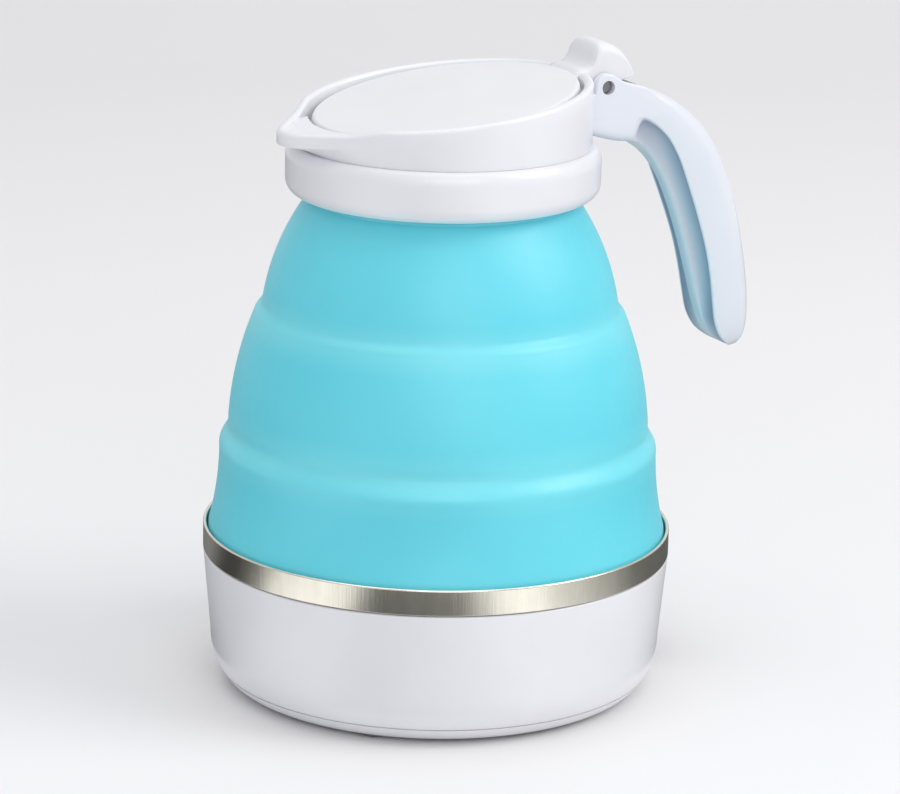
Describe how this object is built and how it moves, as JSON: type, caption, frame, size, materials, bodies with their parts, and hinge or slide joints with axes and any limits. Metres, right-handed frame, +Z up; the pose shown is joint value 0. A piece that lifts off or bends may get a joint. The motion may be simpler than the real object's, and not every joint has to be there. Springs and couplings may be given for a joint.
{
  "type": "collapsible kettle",
  "caption": "Collapsible electric travel kettle: round heated base, tapering silicone body that folds down, collar, slanted rim with pouring spout, hinged lid and curved handle.",
  "frame": {"origin": "centre of the bottom cover's flat underside; the rubber feet stand 0.8 mm below it", "axes": "+Z up along the body's axis, +X towards the handle, -X towards the spout"},
  "size_m": [0.1495, 0.1206, 0.166],
  "materials": {
    "shell": "smooth white, soft gloss",
    "handle_plastic": "smooth cool white, soft gloss",
    "lid_plastic": "satin white",
    "silicone": "matte sky blue food silicone",
    "seal": "clear silicone",
    "brushed_band": "brushed round the ring",
    "steel": "plain stainless",
    "plate": "cast",
    "black_plastic": "black",
    "contact_brass": "bare",
    "foot_rubber": "matte grey",
    "lens": "clear red",
    "sleeve": "white sleeve",
    "brown_wire": "insulation",
    "blue_wire": "insulation",
    "green_wire": "insulation"
  },
  "bodies": {
    "base": {"base_shell": "shell", "bottom_cover": "shell", "cover_screw_1": "steel", "cover_screw_2": "steel", "cover_screw_3": "steel", "cover_screw_4": "steel", "rubber_foot_1": "foot_rubber", "rubber_foot_2": "foot_rubber", "rubber_foot_3": "foot_rubber", "rubber_foot_4": "foot_rubber", "steel_pan": "steel", "pan_nut_1": "steel", "pan_nut_2": "steel", "pan_nut_3": "steel", "steel_band": "brushed_band", "silicone_lower": "silicone", "silicone_middle": "silicone", "heater_plate": "plate", "heating_element": "steel", "neutral_element_pin": "contact_brass", "live_element_pin": "contact_brass", "thermostat": "black_plastic", "thermal_fuse": "sleeve", "inlet_socket": "black_plastic", "live_blade": "contact_brass", "neutral_blade": "contact_brass", "earth_blade": "contact_brass", "switch_housing": "black_plastic", "lower_terminal": "contact_brass", "upper_terminal": "contact_brass", "indicator_lens": "lens", "live_wire": "brown_wire", "switched_wire": "brown_wire", "fuse_wire": "sleeve", "element_wire": "sleeve", "neutral_wire": "blue_wire", "earth_wire": "green_wire"},
    "head": {"silicone_upper": "silicone", "collar": "shell", "neck_ring": "shell", "spout_rim": "shell", "handle": "handle_plastic", "handle_screw_1": "steel", "handle_screw_2": "steel", "hinge_pin": "steel"},
    "lid": {"lid_cover": "lid_plastic", "lid_liner": "lid_plastic", "lid_gasket": "seal"},
    "rocker": {"switch_rocker": "black_plastic"}
  },
  "joints": [
    {"name": "collapse", "type": "slide", "parent": "base", "child": "head", "axis": [0, 0, -1], "range_m": [0, 0.06], "deforming": ["silicone_middle"]},
    {"name": "lid_hinge", "type": "hinge", "parent": "head", "child": "lid", "pos_m": [0.0414, 0, 0.1542], "axis": [0, 1, 0], "range_deg": [0, 70]},
    {"name": "rocker_tilt", "type": "hinge", "parent": "base", "child": "rocker", "pos_m": [0.04423, 0.03097, 0.0165], "axis": [0.5736, -0.8192, 0], "range_deg": [0, 16]}
  ]
}
